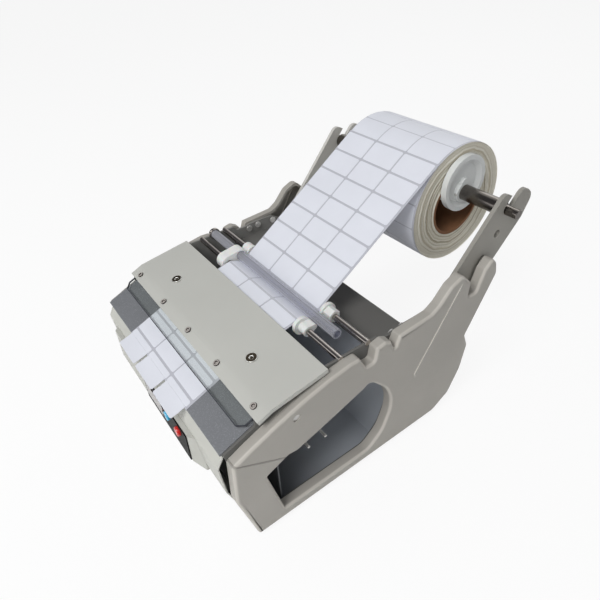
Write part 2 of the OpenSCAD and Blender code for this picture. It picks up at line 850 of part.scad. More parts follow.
module board_standoffs() {
    color(steel) for (x = [standoff_inset, board_w - standoff_inset])
        for (z = [standoff_inset, board_h - standoff_inset])
            translate([board_x + x, tray_front_y, board_z + z])
                rotate([90, 0, 0])
                    cylinder(r = standoff_r, h = board_gap);
}

// Label sensor behind the top of the fascia
sensor_w = 16;
sensor_d = 8;
sensor_h = 10;
sensor_x = 20;

module label_sensor() {
    z = 0.56 * side_h;
    color(black) translate([sensor_x, fascia_y(z - sensor_h) + sheet_t + paper_gap, z - sensor_h])
        cube([sensor_w, sensor_d, sensor_h]);
}

// Mains inlet and rocker switch in the rear wall
rim = 3;
rim_t = 2;
pin_w = 2;

module power_inlet() {
    color(black) difference() {
        union() {
            translate([inlet_x - inlet_w / 2, rear_wall_y - inlet_depth, inlet_z - inlet_h / 2])
                cube([inlet_w, inlet_depth, inlet_h]);
            translate([inlet_x - inlet_w / 2 - rim, rear_wall_y, inlet_z - inlet_h / 2 - rim])
                cube([inlet_w + 2 * rim, rim_t, inlet_h + 2 * rim]);
        }
        translate([inlet_x - inlet_w / 2 + rim, rear_wall_y - inlet_depth + rim,
                inlet_z - inlet_h / 2 + rim])
            cube([inlet_w - 2 * rim, inlet_depth + over, inlet_h - 2 * rim]);
    }
}

module inlet_pins() {
    color(steel) for (place = [[-1, 0], [0, 1], [1, 0]])
        translate([inlet_x + place[0] * inlet_w / 4 - pin_w / 2,
                rear_wall_y - inlet_depth + rim, inlet_z + place[1] * rim - pin_w])
            cube([pin_w, inlet_depth - 2 * rim, 2 * pin_w]);
}

switch_pivot = [rear_wall_y - rim_t, inlet_z];
rocker_half = 6.4;
rocker_out = 5;
rocker_ridge = 3.2;
rocker_in = 2;
rocker_tilt = 9;
switch_wall = 1.5;

module switch_frame() {
    color(black) difference() {
        union() {
            translate([switch_x - switch_w / 2, rear_wall_y - switch_depth,
                    inlet_z - switch_h / 2])
                cube([switch_w, switch_depth, switch_h]);
            translate([switch_x - switch_w / 2 - rim, rear_wall_y,
                    inlet_z - switch_h / 2 - rim])
                cube([switch_w + 2 * rim, rim_t / 2, switch_h + 2 * rim]);
        }
        translate([switch_x - switch_w / 2 + switch_wall,
                rear_wall_y - switch_depth + 2 * rim, inlet_z - switch_h / 2 + switch_wall])
            cube([switch_w - 2 * switch_wall, switch_depth + over, switch_h - 2 * switch_wall]);
    }
}

module power_rocker() {
    half_w = switch_w / 2 - switch_wall - fit_gap;
    color([0.7, 0.1, 0.08])
        translate([0, switch_pivot[0], switch_pivot[1]])
            rotate([rocker_tilt, 0, 0])
                slab([[-rocker_in, -rocker_half], [rocker_out, -rocker_half], [rocker_ridge, 0],
                    [rocker_out, rocker_half], [-rocker_in, rocker_half]],
                    switch_x - half_w, switch_x + half_w);
}

// Label roll on its hubs: the core hangs on the hub barrels
shaft_r = shaft_d / 2;
core_r = core_bore / 2;
hub_r = hub_d / 2;
roll_at = shaft_at - [0, core_r - hub_r - 2 * run];
hub_gap = 0.5;
hub_boss_r = shaft_r + rim;
hub_l = 40;
hub_floor = 2;
hub_rim = 4.5;
shaft_main_end = arm_in - hub_gap;
shaft_end = shell_out - over;

module supply_shaft() {
    color(steel) {
        rod_x(shaft_at, shaft_r, -shaft_main_end, shaft_main_end);
        rod_x(shaft_at, journal_r, shaft_main_end, shaft_end);
        rod_x(shaft_at, journal_r, -shaft_end, -shaft_main_end);
    }
}

// Hub whose barrel carries the core; its flange lies higher and is dished on the outside
module hub(face) {
    flange_at = shaft_at + [0, flange_rise];
    dish_r = flange_d / 2 - hub_rim;
    dish_h = cup_depth - hub_floor;
    difference() {
        union() {
            rod_x(shaft_at, hub_r, face - hub_l, face);
            difference() {
                rod_x(flange_at, flange_d / 2, face, face + cup_depth);
                translate([face + hub_floor, flange_at[0], flange_at[1]])
                    rotate([0, 90, 0])
                        cylinder(r1 = dish_r - dish_h, r2 = dish_r + over, h = dish_h + over);
            }
            link_x(shaft_at, hub_boss_r, flange_at, hub_boss_r / 2, face, face + cup_depth);
        }
        rod_x(shaft_at, shaft_r, face - hub_l - over, face + cup_depth + over);
        hub_screw(face, hub_boss_r + over, run);
    }
}

module hub_screw(face, top, gap) {
    translate([face + (hub_floor + cup_depth) / 2, shaft_at[0] - shaft_r, shaft_at[1]])
        rotate([90, 0, 0])
            cylinder(r = screw_r + gap, h = top - shaft_r);
}

module right_hub() {
    color(nylon) hub(web_right + hub_gap);
}

module left_hub() {
    color(nylon) mirror([1, 0, 0]) hub(hub_gap - web_left);
}

module hub_screws() {
    color(steel) {
        hub_screw(web_right + hub_gap, hub_boss_r, 0);
        mirror([1, 0, 0]) hub_screw(hub_gap - web_left, hub_boss_r, 0);
    }
}

module roll_core() {
    color([0.45, 0.3, 0.2]) ring_x(roll_at, core_r + core_wall, core_r, web_left, web_right);
}

module label_roll() {
    color(paper) ring_x(roll_at, roll_d / 2, core_r + core_wall, web_left, web_right);
}

// Paper path from the roll over the rods to the peel edge, by its top face
rod_r = rod_d / 2;
top_roll = roll_d / 2 + paper_gap + web_t;
top_rod = rod_r + paper_gap + web_t;
under_tube = -tube_r - paper_gap;
top_edge = peel_t / 2 + paper_lay + web_t;
rest_at = peel_rear - turned(peel_dir) * peel_t / 2;
h_over = heading(roll_at, top_roll, rear_rod_at, top_rod);
h_rear = heading(rear_rod_at, top_rod, tube_at, under_tube);
// The rear rod carries the paper only once the roll has become small
rear_turn = max(0, swing(h_over, h_rear));
h_roll = rear_turn > 0 ? h_over : heading(roll_at, top_roll, tube_at, under_tube);
h_tube = rear_turn > 0 ? h_rear : h_roll;
h_front = heading(tube_at, under_tube, front_rod_at, top_rod);
h_cover = heading(front_rod_at, top_rod, rest_at, top_edge);
h_peel = heading(rest_at, top_edge, peel_edge_at, top_edge);
web_path = concat([off(roll_at, top_roll, h_roll)],
    rear_turn > 0 ? bend(rear_rod_at, top_rod, h_roll, rear_turn) : [],
    bend(tube_at, under_tube, h_tube, swing(h_tube, h_front)),
    bend(front_rod_at, top_rod, h_front, swing(h_front, h_cover)),
    bend(rest_at, top_edge, h_cover, swing(h_cover, h_peel)),
    [off(peel_edge_at, top_edge, h_peel) - run * [cos(h_peel), sin(h_peel)]]);

module label_web() {
    color(paper) slab(sheet(web_path, web_t), web_left, web_right);
}

// Backing paper round the peel edge, over the bar and down to the rewound paper
half_turn = 180;
liner_edge = peel_t / 2 + paper_lay + liner_t;
h_under = heading(peel_edge_at, liner_edge, bar_at, -bar_r - paper_gap);
h_down = heading(bar_at, -bar_r - paper_gap, rewind_at, -wound_d / 2 - paper_gap);
liner_path = concat(
    bend(peel_edge_at, liner_edge, h_peel, half_turn + swing(h_peel + half_turn, h_under)),
    bend(bar_at, -bar_r - paper_gap, h_under, swing(h_under, h_down)),
    [off(rewind_at, -wound_d / 2 - paper_gap, h_down)]);

module liner_return() {
    color(paper) slab(sheet(liner_path, liner_t), web_left, web_right);
}

// Free labels past the peel edge, one for each column
label_pitch = (web_w - label_gap / 2) / label_columns;
label_start = off(peel_edge_at, top_edge, h_peel);
label_lift = 9;
label_path = [label_start,
    label_start + label_out / 2 * [cos(h_peel), sin(h_peel)],
    label_start + label_out / 2 * [cos(h_peel) + cos(h_peel - label_lift),
        sin(h_peel) + sin(h_peel - label_lift)]];

module peeled_labels() {
    color(paper) for (k = [0 : label_columns - 1]) {
        x0 = web_left + label_gap / 2 + k * label_pitch;
        slab(sheet(label_path, liner_t), x0, x0 + label_pitch - label_gap);
    }
}

// Sliding guide collars beside the paper's edges
guide_gap = 1.5;
collar_hub_r = collar_r - 2;
rear_flange_r = collar_r - 1.5;
lobe_r = tube_r + 2;
lobe_t = collar_flange + collar_hub;
left_face = web_left - guide_gap;
right_face = web_right + guide_gap;

module left_front_guide() {
    color(nylon) difference() {
        link_x(front_rod_at, collar_r, tube_at, lobe_r, left_face - lobe_t, left_face);
        rod_x(front_rod_at, rod_r + run, left_face - lobe_t - over, left_face + over);
        rod_x(tube_at, tube_r + run, left_face - lobe_t - over, left_face + over);
    }
}

module left_rear_guide() {
    color(nylon) difference() {
        union() {
            rod_x(rear_rod_at, rear_flange_r, left_face - collar_flange, left_face);
            rod_x(rear_rod_at, collar_hub_r, left_face - lobe_t, left_face);
        }
        rod_x(rear_rod_at, rod_r + run, left_face - lobe_t - over, left_face + over);
    }
}

module right_front_guide() {
    color(nylon) difference() {
        union() {
            rod_x(front_rod_at, collar_r, right_face, right_face + collar_flange);
            link_x(front_rod_at, collar_hub_r - rim / 2, along(front_rod_at, tube_at, collar_hub_r),
                rim - run, right_face, right_face + lobe_t);
        }
        rod_x(front_rod_at, rod_r + run, right_face - over, right_face + lobe_t + over);
    }
}

module right_rear_guide() {
    color(nylon) difference() {
        union() {
            rod_x(rear_rod_at, collar_r, right_face, right_face + collar_flange);
            rod_x(rear_rod_at, collar_hub_r, right_face, right_face + lobe_t, $fn = 6);
        }
        rod_x(rear_rod_at, rod_r + run, right_face - over, right_face + lobe_t + over);
    }
}

// The origin is under the middle of the whole machine, on the surface it stands on
front_end = label_path[2][0];
rear_end = roll_at[0] + roll_d / 2;

module placed() {
    translate([0, -(front_end + rear_end) / 2, foot_drop])
        children();
}

placed() right_shell();
placed() left_shell();
placed() right_side_plate();
placed() left_side_plate();
placed() base_plate();
placed() base_tray();
placed() rear_cover();
placed() top_cover();
placed() cover_brackets();
placed() peel_plate();
placed() clear_guard();
placed() front_fascia();
placed() console_housing();
placed() control_panel();
placed() display_window();
placed() front_rod();
placed() rear_rod();
placed() tube_pin();
placed() liner_bar();
placed() tie_bar();
placed() right_arm();
placed() left_arm();
placed() arm_bolts();
placed() shell_screws();
placed() cover_screws();
placed() guard_screws();
placed() rubber_feet();
placed() rewind_motor();
placed() motor_screws();
placed() control_board();
placed() board_standoffs();
placed() label_sensor();
placed() power_inlet();
placed() inlet_pins();
placed() switch_frame();
placed() label_web();
placed() liner_return();
placed() peeled_labels();
placed() left_front_guide();
placed() left_rear_guide();
placed() right_front_guide();
placed() right_rear_guide();
placed() guide_tube();
placed() supply_shaft();
placed() right_hub();
placed() left_hub();
placed() hub_screws();
placed() roll_core();
placed() label_roll();
placed() rewind_hub();
placed() rewind_prongs();
placed() rewound_liner();
placed() red_button();
placed() blue_button();
placed() power_rocker();
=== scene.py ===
"""Looks of a table-top label peeling machine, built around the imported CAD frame.

Every piece is in metres, in the frame's own axes: X to the right, Y to the back, Z up.
Rigid nodes get a copy of their mesh with softened edges; paper gets its labels and windings.
"""

import json
import math
import random

import bmesh
import bpy
from mathutils import Matrix, Vector

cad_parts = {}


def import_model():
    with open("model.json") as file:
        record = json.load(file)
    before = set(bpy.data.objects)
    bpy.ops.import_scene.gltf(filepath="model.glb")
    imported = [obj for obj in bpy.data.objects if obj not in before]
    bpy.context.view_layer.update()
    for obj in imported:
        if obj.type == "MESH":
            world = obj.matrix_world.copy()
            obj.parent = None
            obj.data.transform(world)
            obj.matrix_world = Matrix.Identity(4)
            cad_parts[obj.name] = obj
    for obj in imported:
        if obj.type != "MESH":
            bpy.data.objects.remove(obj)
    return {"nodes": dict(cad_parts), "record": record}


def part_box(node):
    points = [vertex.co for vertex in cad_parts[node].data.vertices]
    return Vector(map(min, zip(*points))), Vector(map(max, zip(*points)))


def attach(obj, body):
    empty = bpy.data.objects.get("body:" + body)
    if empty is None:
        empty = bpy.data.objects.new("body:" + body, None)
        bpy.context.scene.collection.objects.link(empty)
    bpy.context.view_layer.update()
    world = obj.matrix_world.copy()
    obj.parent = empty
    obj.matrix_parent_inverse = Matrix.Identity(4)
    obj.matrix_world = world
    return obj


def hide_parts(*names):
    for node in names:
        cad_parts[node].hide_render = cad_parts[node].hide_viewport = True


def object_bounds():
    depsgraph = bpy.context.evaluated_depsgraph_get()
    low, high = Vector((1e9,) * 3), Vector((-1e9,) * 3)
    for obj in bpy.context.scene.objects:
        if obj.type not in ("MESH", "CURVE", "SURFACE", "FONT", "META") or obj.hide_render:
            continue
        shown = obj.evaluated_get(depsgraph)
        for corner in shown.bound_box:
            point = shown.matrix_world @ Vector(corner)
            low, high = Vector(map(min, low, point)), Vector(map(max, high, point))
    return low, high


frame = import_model()
CAD_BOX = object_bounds()
BODY_OF = {n: b for b, ns in frame["record"]["behaviour"]["bodies"].items() for n in ns}
MM = 0.001
WELD = 2e-6
WHITE = (1, 1, 1)
DARK = (0, 0, 0)

# Angles in degrees: faces this flat are made one, edges this sharp are softened, and bends
# up to these look smooth on shells and paper and on a wound roll
FLAT_ANGLE = 0.4
PAPER_FLAT_ANGLE = 0.05
EDGE_ANGLE = 30
SMOOTH_ANGLE = 40
WOUND_ANGLE = 50


# ---------------------------------------------------------------- small helpers

def srgb(r, g, b):
    """Linear colour from 8-bit display values."""
    def one(c):
        c /= 255
        return c / 12.92 if c <= 0.04045 else ((c + 0.055) / 1.055) ** 2.4
    return (one(r), one(g), one(b), 1.0)


def shade(colour, k):
    return (colour[0] * k, colour[1] * k, colour[2] * k, 1.0)


def link(obj):
    bpy.context.scene.collection.objects.link(obj)
    return obj


def centre(node):
    lo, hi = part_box(node)
    return (lo + hi) / 2


def mesh_object(name, bm, material):
    me = bpy.data.meshes.new(name)
    bm.to_mesh(me)
    bm.free()
    me.materials.append(material)
    return link(bpy.data.objects.new(name, me))


def radius_of(node):
    """Half the height of a piece that is round about X."""
    lo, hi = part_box(node)
    return (hi.z - lo.z) / 2


def smooth(obj, angle):
    me = obj.data
    me.polygons.foreach_set("use_smooth", [True] * len(me.polygons))
    me.set_sharp_from_angle(angle=math.radians(angle))


def shaped(name, bm, material, angle=SMOOTH_ANGLE):
    """A smooth object from faces that were built in any direction."""
    bmesh.ops.recalc_face_normals(bm, faces=bm.faces)
    obj = mesh_object(name, bm, material)
    smooth(obj, angle)
    return obj


def place(obj, node, replace=True):
    """Rides on the node's body and, when it replaces the node, hides it and stands for it."""
    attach(obj, BODY_OF[node])
    if replace:
        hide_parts(node)
    return obj


def weigh_normals(obj):
    obj.modifiers.new("normals", "WEIGHTED_NORMAL").keep_sharp = True


def add_bevel(obj, width, segments):
    m = obj.modifiers.new("edges", "BEVEL")
    m.width = width
    m.segments = segments
    m.limit_method = "ANGLE"
    m.angle_limit = math.radians(EDGE_ANGLE)
    m.harden_normals = False
    m.use_clamp_overlap = True
    weigh_normals(obj)


def cad_bmesh(node, flat=FLAT_ANGLE):
    """The node's mesh, welded, with flat faces made whole."""
    bm = bmesh.new()
    bm.from_mesh(frame["nodes"][node].data)
    bmesh.ops.remove_doubles(bm, verts=bm.verts, dist=WELD)
    bmesh.ops.dissolve_limit(
        bm, angle_limit=math.radians(flat), verts=bm.verts, edges=bm.edges)
    return bm


def bridge(bm, a, b):
    """Faces between two closed rings of as many vertices."""
    pairs = zip(a, a[1:] + a[:1], b[1:] + b[:1], b)
    return [bm.faces.new(corners) for corners in pairs]


def skin(node, material, bevel, segments=2):
    """A copy of the node with softened edges."""
    obj = mesh_object(node + "_skin", cad_bmesh(node), material)
    smooth(obj, EDGE_ANGLE)
    if bevel:
        add_bevel(obj, bevel, segments)
    return place(obj, node)


# ---------------------------------------------------------------- materials

class Tree:
    """A short way to write a node material."""

    def __init__(self, name):
        self.mat = bpy.data.materials.new(name)
        self.mat.use_nodes = True
        self.t = self.mat.node_tree
        self.t.nodes.clear()
        self.out = self.node("ShaderNodeOutputMaterial")
        self.bsdf = self.node("ShaderNodeBsdfPrincipled")
        self.link(self.bsdf.outputs[0], self.out.inputs["Surface"])

    @classmethod
    def of(cls, owner):
        """The tree of a world, or of a material that is already written."""
        tree = cls.__new__(cls)
        tree.mat, tree.t = owner, owner.node_tree
        tree.bsdf = tree.t.nodes.get("Principled BSDF")
        return tree

    def node(self, kind, **props):
        n = self.t.nodes.new(kind)
        for k, v in props.items():
            setattr(n, k, v)
        return n

    def link(self, a, b):
        self.t.links.new(a, b)

    def feed(self, socket, value):
        """Links another node's output to the input, or sets it to a value."""
        if isinstance(value, bpy.types.NodeSocket):
            self.link(value, socket)
        else:
            socket.default_value = value

    def set(self, **values):
        for k, v in values.items():
            self.feed(self.bsdf.inputs[k.replace("_", " ")], v)

    def source(self, key):
        """What feeds this input of the surface so far."""
        return self.bsdf.inputs[key].links[0].from_socket

    def here(self):
        return self.node("ShaderNodeTexCoord").outputs["Object"]

    def facing(self):
        return self.node("ShaderNodeNewGeometry").outputs["Normal"]

    def axis(self, vector, name):
        split = self.node("ShaderNodeSeparateXYZ")
        self.link(vector, split.inputs[0])
        return split.outputs[name]

    def coords(self, scale, stretch):
        m = self.node("ShaderNodeMapping")
        m.inputs["Scale"].default_value = [scale * s for s in stretch]
        self.link(self.here(), m.inputs["Vector"])
        return m.outputs[0]

    def noise(self, scale, detail, rough=0.55, stretch=(1, 1, 1)):
        n = self.node("ShaderNodeTexNoise")
        n.inputs["Scale"].default_value = 1.0
        n.inputs["Detail"].default_value = detail
        n.inputs["Roughness"].default_value = rough
        self.link(self.coords(scale, stretch), n.inputs["Vector"])
        return n.outputs["Fac"]

    def ramp(self, fac, stops):
        r = self.node("ShaderNodeValToRGB")
        e = r.color_ramp.elements
        while len(e) < len(stops):
            e.new(0.5)
        for el, (pos, col) in zip(e, stops):
            el.position = pos
            el.color = col if len(col) == 4 else (*col, 1)
        self.link(fac, r.inputs[0])
        return r.outputs[0]

    def mottle(self, noise, low, high):
        """Two tones, mixed over the middle part of a noise."""
        return self.ramp(noise, [(0.3, low), (0.7, high)])

    def span(self, fac, lo, hi, start=0.0, end=1.0, kind="LINEAR"):
        m = self.node("ShaderNodeMapRange", interpolation_type=kind)
        for key, v in (("From Min", start), ("From Max", end), ("To Min", lo), ("To Max", hi)):
            m.inputs[key].default_value = v
        self.link(fac, m.inputs["Value"])
        return m.outputs[0]

    def math(self, op, a, b=None, clamp=False):
        m = self.node("ShaderNodeMath", operation=op, use_clamp=clamp)
        self.feed(m.inputs[0], a)
        if b is not None:
            self.feed(m.inputs[1], b)
        return m.outputs[0]

    def vector(self, op, a, b=None, scale=None):
        m = self.node("ShaderNodeVectorMath", operation=op)
        self.link(a, m.inputs[0])
        if b is not None:
            self.feed(m.inputs[1], b)
        if scale is not None:
            self.feed(m.inputs["Scale"], scale)
        return m.outputs["Value" if op in ("DOT_PRODUCT", "LENGTH") else "Vector"]

    def mix(self, fac, a, b):
        m = self.node("ShaderNodeMix", data_type="RGBA")
        for i, v in ((0, fac), (6, a), (7, b)):
            self.feed(m.inputs[i], v)
        return m.outputs[2]

    def blend(self, fac, off, on):
        """A mix of two shaders."""
        m = self.node("ShaderNodeMixShader")
        for i, v in enumerate((fac, off, on)):
            self.link(v, m.inputs[i])
        return m.outputs[0]

    def bump(self, height, strength, distance, normal=None):
        b = self.node("ShaderNodeBump")
        b.inputs["Strength"].default_value = strength
        b.inputs["Distance"].default_value = distance
        self.link(height, b.inputs["Height"])
        if normal is not None:
            self.link(normal, b.inputs["Normal"])
        return b.outputs[0]

    def finish(self, colour, rough, normal):
        self.set(Base_Color=colour, Roughness=rough, Normal=normal)
        return self.mat


def paint(name, colour, rough, grain, depth, vary=0.06):
    """Sprayed paint: fine orange peel, faint clouds of tone, slightly uneven gloss."""
    t = Tree(name)
    t.set(Specular_IOR_Level=0.4)
    return t.finish(t.mottle(t.noise(9, 5), shade(colour, 1 - vary), shade(colour, 1 + vary)),
                    t.span(t.noise(60, 3), rough - 0.06, rough + 0.08),
                    t.bump(t.noise(1 / grain, 2), 0.35, depth))


def shaded_front(mat, y0, y1, k):
    """Darkens a paint towards its front end, which the photograph shows in deep shadow."""
    t = Tree.of(mat)
    tone = t.span(t.axis(t.here(), "Y"), k, 1.0, y0, y1, "SMOOTHSTEP")
    t.set(Base_Color=t.vector("SCALE", t.source("Base Color"), scale=tone))


def light_edges(mat, painted_light_gain):
    """Lightens a side shell's paint where its outer edge rounds over and catches the light."""
    t = Tree.of(mat)
    turn = t.math("ABSOLUTE", t.axis(t.facing(), "X"))
    lit = (painted_light_gain, painted_light_gain, painted_light_gain)
    tone = t.ramp(turn, [(0.12, WHITE), (0.4, lit), (0.86, lit), (0.98, WHITE)])
    t.set(Base_Color=t.vector("MULTIPLY", t.source("Base Color"), tone))


def crease(mat, start, end, width, painted_light_gain, height):
    """Draws a fold on a shell's face by relief and painted light, from start to end, both (y,
    z): a gain above 1 paints a highlight along it, below 1 painted shade.
    """
    t = Tree.of(mat)
    run = Vector(end) - Vector(start)
    along = run.normalized()
    rel = t.vector("SUBTRACT", t.here(), (0, *start))
    across = t.math("ABSOLUTE", t.vector("DOT_PRODUCT", rel, (0, -along.y, along.x)))
    reach = t.vector("DOT_PRODUCT", rel, (0, *along))
    fold = t.span(across, 1, 0, 0, width, "SMOOTHSTEP")
    first = t.span(reach, 0, 1, -width, width, "SMOOTHSTEP")
    last = t.span(reach, 1, 0, run.length - 4 * width, run.length, "SMOOTHSTEP")
    fold = t.math("MULTIPLY", fold, t.math("MULTIPLY", first, last))
    t.set(Base_Color=t.vector("SCALE", t.source("Base Color"), scale=t.span(fold, 1, painted_light_gain)),
          Normal=t.bump(fold, 1.0, height, t.source("Normal")))


def painted_light_screw_steel(name, flat, ring, up, rough=0.25, metal=0.9):
    """Screw steel whose flat top and rounded rim take two given tones, painted light that sets
    a highlight against shade on the head.
    """
    t = Tree(name)
    n = t.noise(500, 3)
    level = t.vector("DOT_PRODUCT", t.facing(), Vector(up).normalized())
    worn = t.mottle(n, shade(flat, 0.8), flat)
    t.set(Metallic=metal)
    return t.finish(t.mix(t.span(level, 0, 1, 0.95, 0.99), ring, worn),
                    t.span(n, rough, rough + 0.18), t.bump(n, 0.1, 0.02 * MM))


def speckled_paint(name, dark, light, rough=0.55):
    """Coarse textured powder coat with pale flecks."""
    t = Tree(name)
    fleck = t.noise(900, 3, 0.7)
    base = t.mottle(t.noise(14, 4), shade(dark, 0.94), shade(dark, 1.08))
    col = t.mix(t.ramp(fleck, [(0.52, DARK), (0.72, WHITE)]), base, light)
    return t.finish(col, t.span(fleck, rough - 0.1, rough + 0.12),
                    t.bump(fleck, 0.4, 0.06 * MM))


def ground_steel(name, colour, rough, metal=1.0):
    """Ground rod or shaft: fine rings round X and a few darker streaks."""
    t = Tree(name)
    rings = t.noise(1, 3, 0.6, (9000, 60, 60))
    streak = t.noise(1, 4, 0.6, (14, 260, 260))
    t.set(Metallic=metal)
    return t.finish(t.mottle(streak, shade(colour, 0.82), shade(colour, 1.06)),
                    t.span(rings, rough - 0.04, rough + 0.08), t.bump(rings, 0.05, 0.01 * MM))


def screw_steel(name, colour, rough=0.22, metal=0.6):
    """Bright screw steel, a little worn."""
    t = Tree(name)
    n = t.noise(500, 3)
    t.set(Metallic=metal)
    return t.finish(t.mottle(n, shade(colour, 0.7), colour),
                    t.span(n, rough, rough + 0.18), t.bump(n, 0.1, 0.02 * MM))


def plastic(name, colour, rough, grain=700, depth=0.02 * MM, coat=0.0, subsurface=0.0,
            metal=0.0, specular=0.5):
    """Moulded plastic: fine grain and faint clouds of tone."""
    t = Tree(name)
    n = t.noise(grain, 2)
    t.set(Coat_Weight=coat, Coat_Roughness=0.08, Metallic=metal, Specular_IOR_Level=specular)
    if subsurface:
        t.set(Subsurface_Weight=subsurface, Subsurface_Scale=2 * MM)
    return t.finish(t.mottle(t.noise(25, 4), shade(colour, 0.96), shade(colour, 1.04)),
                    t.span(n, rough - 0.05, rough + 0.07), t.bump(n, 0.2, depth))


def clear(name, colour, edge, haze_amount, gloss, rim, drawn=(1, 1, 1)):
    """Clear plastic: see-through, duller at grazing edges, with faint handling haze."""
    t = Tree(name)
    haze = t.noise(60, 5, 0.55, drawn)
    graze = t.node("ShaderNodeLayerWeight")
    graze.inputs["Blend"].default_value = 0.4
    through = t.node("ShaderNodeBsdfTransparent")
    t.link(t.mix(graze.outputs["Facing"], colour, edge), through.inputs["Color"])
    t.set(Specular_IOR_Level=0.6)
    t.finish(t.mottle(haze, shade(edge, 0.96), edge), t.span(haze, gloss, gloss + 0.08),
             t.bump(t.noise(30, 2), 0.03, 0.1 * MM))
    grazing = t.math("MULTIPLY", t.math("POWER", graze.outputs["Facing"], 2.0), rim)
    hazy = t.span(haze, haze_amount * 0.4, haze_amount * 1.6)
    share = t.math("ADD", grazing, hazy, True)
    t.link(t.blend(share, through.outputs[0], t.bsdf.outputs[0]), t.out.inputs["Surface"])
    return t.mat


def paper_face(name, colour, rough=0.55, coat=0.12):
    """Coated paper: fine fibre, faint clouds, and a faint glow, painted light that lifts its
    shade as if light came through it.
    """
    t = Tree(name)
    fibre = t.noise(2200, 3, 0.7)
    t.set(Coat_Weight=coat, Coat_Roughness=0.35, Emission_Color=colour, Emission_Strength=0.09)
    return t.finish(t.mottle(t.noise(35, 4), shade(colour, 0.975), shade(colour, 1.015)),
                    t.span(fibre, rough - 0.05, rough + 0.08), t.bump(fibre, 0.12, 0.01 * MM))


def wound_edge(name, at, stops, pitch=2600):
    """Side of a wound roll: hundreds of fine rings round the axis through at."""
    t = Tree(name)
    flat = t.vector("MULTIPLY", t.vector("SUBTRACT", t.here(), at), (0, 1, 1))
    wobble = t.math("ADD", t.math("MULTIPLY", t.noise(12, 2), 12 * MM),
                    t.math("MULTIPLY", t.noise(90, 3), 3 * MM))
    r = t.math("ADD", t.vector("LENGTH", flat), wobble)

    def ring(scale, detail):
        n = t.node("ShaderNodeTexNoise", noise_dimensions="1D")
        n.inputs["Scale"].default_value = 1
        n.inputs["Detail"].default_value = detail
        t.link(t.math("MULTIPLY", r, scale), n.inputs["W"])
        return n.outputs["Fac"]

    fine = ring(pitch, 2)
    broad = ring(pitch / 9, 4)
    both = t.math("ADD", t.math("MULTIPLY", fine, 0.4), t.math("MULTIPLY", broad, 0.6))
    return t.finish(t.ramp(both, stops), t.span(fine, 0.7, 0.9), t.bump(both, 0.5, 0.4 * MM))


def cardboard(name, colour):
    """Bare board of a roll's core: coarse fibre, no gloss."""
    t = Tree(name)
    fibre = t.noise(600, 4, 0.7, (1, 3, 3))
    return t.finish(t.mottle(fibre, shade(colour, 0.75), shade(colour, 1.15)),
                    t.span(fibre, 0.75, 0.95), t.bump(fibre, 0.4, 0.1 * MM))


ROLL_AT = centre("label_roll")
WOUND_AT = centre("rewound_liner")
SHAFT_Y = centre("supply_shaft").y
FRONT_Y = CAD_BOX[0].y

# The inside of the left arm faces the light, so its paint is written lighter
SHELL = paint("shell_paint", srgb(171, 167, 160), 0.5, 0.6 * MM, 0.05 * MM)
ARM = paint("arm_paint", srgb(150, 147, 140), 0.5, 0.6 * MM, 0.04 * MM)
LEFT_ARM = paint("left_arm_paint", srgb(206, 204, 199), 0.5, 0.6 * MM, 0.04 * MM)
COVER = paint("cover_paint", srgb(194, 194, 188), 0.42, 0.5 * MM, 0.02 * MM, 0.03)
INNER = paint("inner_paint", srgb(102, 101, 98), 0.6, 0.5 * MM, 0.04 * MM, 0.08)
PLATE = paint("plate_paint", srgb(136, 135, 132), 0.6, 0.5 * MM, 0.04 * MM, 0.08)
TRAY = paint("tray_paint", srgb(172, 177, 184), 0.5, 0.5 * MM, 0.03 * MM, 0.08)
CONSOLE = paint("console_paint", srgb(190, 190, 183), 0.45, 0.5 * MM, 0.02 * MM, 0.03)
PEEL = speckled_paint("peel_coat", srgb(116, 118, 122), srgb(144, 146, 150))

STEEL = ground_steel("ground_steel", srgb(184, 178, 172), 0.14)
SHAFT = ground_steel("shaft_steel", srgb(126, 121, 116), 0.2)
SPOOL = ground_steel("spool_steel", srgb(236, 235, 230), 0.36, metal=0.5)
SCREW = screw_steel("screw_steel", srgb(222, 220, 217))
# Cover screws: dark tops, with a painted highlight round the rim
COVER_SCREW = painted_light_screw_steel(
    "cover_screw_steel", srgb(92, 84, 70), srgb(226, 226, 222), (0, -0.1, 1))
# Lip screws: a painted highlight on the top, and painted shade round the rim
LIP_SCREW = painted_light_screw_steel(
    "lip_screw_steel", srgb(206, 199, 192), srgb(44, 36, 32), (0, -0.38, 0.92), metal=0.35)

TUBE = clear("tube_plastic", srgb(250, 250, 253), srgb(222, 223, 230), 0.3, 0.12, 0.5,
             (0.03, 6, 6))
# The bore's darker tint is painted shade inside the tube
SHADED_TUBE_BORE = clear("shaded_tube_bore", srgb(228, 229, 236), srgb(160, 161, 170), 0.06, 0.15, 0.3,
                  (0.03, 6, 6))
GUARD = clear("guard_plastic", srgb(252, 253, 252), srgb(243, 245, 244), 0.004, 0.1, 0.03)
# The guard's dark edges are painted shade, not the plastic's own colour
GUARD_EDGE_SHADE = plastic("guard_edge_shade", srgb(62, 64, 70), 0.35)
MOTOR = plastic("motor_metal", srgb(120, 120, 122), 0.35, metal=0.8)
PANEL = plastic("panel_film", srgb(26, 26, 26), 0.5, specular=0.12)
DISPLAY = plastic("display_filter", srgb(52, 8, 8), 0.12, coat=0.8)
NYLON = plastic("nylon", srgb(232, 233, 230), 0.42, subsurface=0.15)
HUB = plastic("hub_plastic", srgb(220, 222, 221), 0.45)
BLACK = plastic("black_plastic", srgb(32, 32, 34), 0.5)
RUBBER = plastic("rubber", srgb(38, 38, 38), 0.8, 400, 0.06 * MM)
BOARD = plastic("board_mask", srgb(24, 92, 48), 0.35, coat=0.3)
RED = plastic("red_button_plastic", srgb(214, 40, 34), 0.3, coat=0.5)
BLUE = plastic("blue_button_plastic", srgb(60, 178, 220), 0.3, coat=0.5)
ROCKER = plastic("rocker_plastic", srgb(205, 32, 26), 0.3, coat=0.4)

